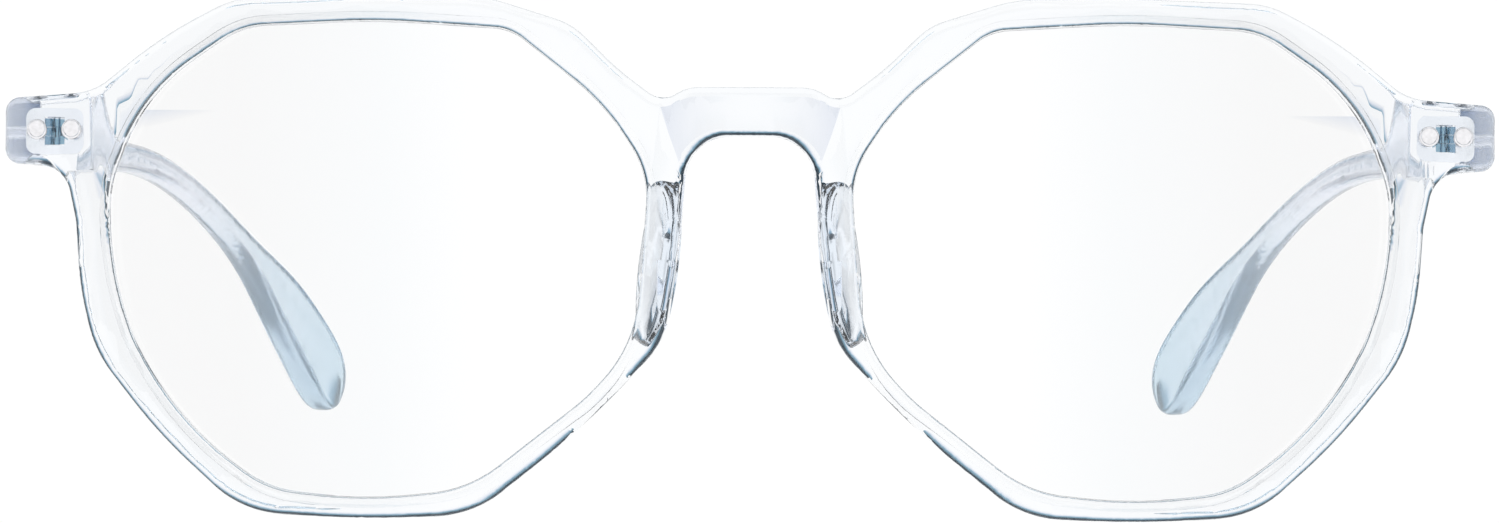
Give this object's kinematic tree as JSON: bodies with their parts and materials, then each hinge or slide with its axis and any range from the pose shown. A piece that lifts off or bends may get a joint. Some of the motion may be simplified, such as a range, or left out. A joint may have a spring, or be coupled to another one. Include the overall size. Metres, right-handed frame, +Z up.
{
  "type": "blue light glasses",
  "caption": "Clear plastic spectacles with soft-cornered octagonal rims, plano blue-light lenses, plug-in nose pads and folding temples on riveted hinges.",
  "frame": {"origin": "centre of the bounding box on the table the glasses stand on, temples open", "axes": "+Z up, +Y backwards along the temples, -Y the way the lenses face, +X towards the wearer's left"},
  "size_m": [0.1402, 0.1465, 0.0488],
  "materials": {
    "clear_frame": "polished crystal-clear plastic with a faint cool tint",
    "clear_temple": "polished crystal-clear plastic with a faint cool tint",
    "lens": "clear plano lens with a faint blue reflecting coat",
    "soft_pad": "soft translucent silicone, satin",
    "hinge_metal": "nickel-plated, satin",
    "rivet_metal": "silver, lightly brushed heads",
    "screw_metal": "plain steel"
  },
  "bodies": {
    "front": {"front_frame": "clear_frame", "lens_left": "lens", "nose_pad_left": "soft_pad", "front_hinge_leaf_left": "hinge_metal", "hinge_screw_left": "screw_metal", "front_rivet_inner_left": "rivet_metal", "front_rivet_outer_left": "rivet_metal", "lens_right": "lens", "nose_pad_right": "soft_pad", "front_hinge_leaf_right": "hinge_metal", "hinge_screw_right": "screw_metal", "front_rivet_inner_right": "rivet_metal", "front_rivet_outer_right": "rivet_metal"},
    "temple_left": {"temple_left": "clear_temple", "temple_hinge_leaf_left": "hinge_metal", "temple_rivet_front_left": "rivet_metal", "temple_rivet_rear_left": "rivet_metal"},
    "temple_right": {"temple_right": "clear_temple", "temple_hinge_leaf_right": "hinge_metal", "temple_rivet_front_right": "rivet_metal", "temple_rivet_rear_right": "rivet_metal"}
  },
  "joints": [
    {"name": "temple_left_fold", "type": "hinge", "parent": "front", "child": "temple_left", "pos_m": [0.065, -0.05854, 0.03562], "axis": [0, 0.0471, 0.9989], "range_deg": [0, 84]},
    {"name": "temple_right_fold", "type": "hinge", "parent": "front", "child": "temple_right", "pos_m": [-0.065, -0.05854, 0.03562], "axis": [0, -0.0471, -0.9989], "range_deg": [0, 79]}
  ]
}
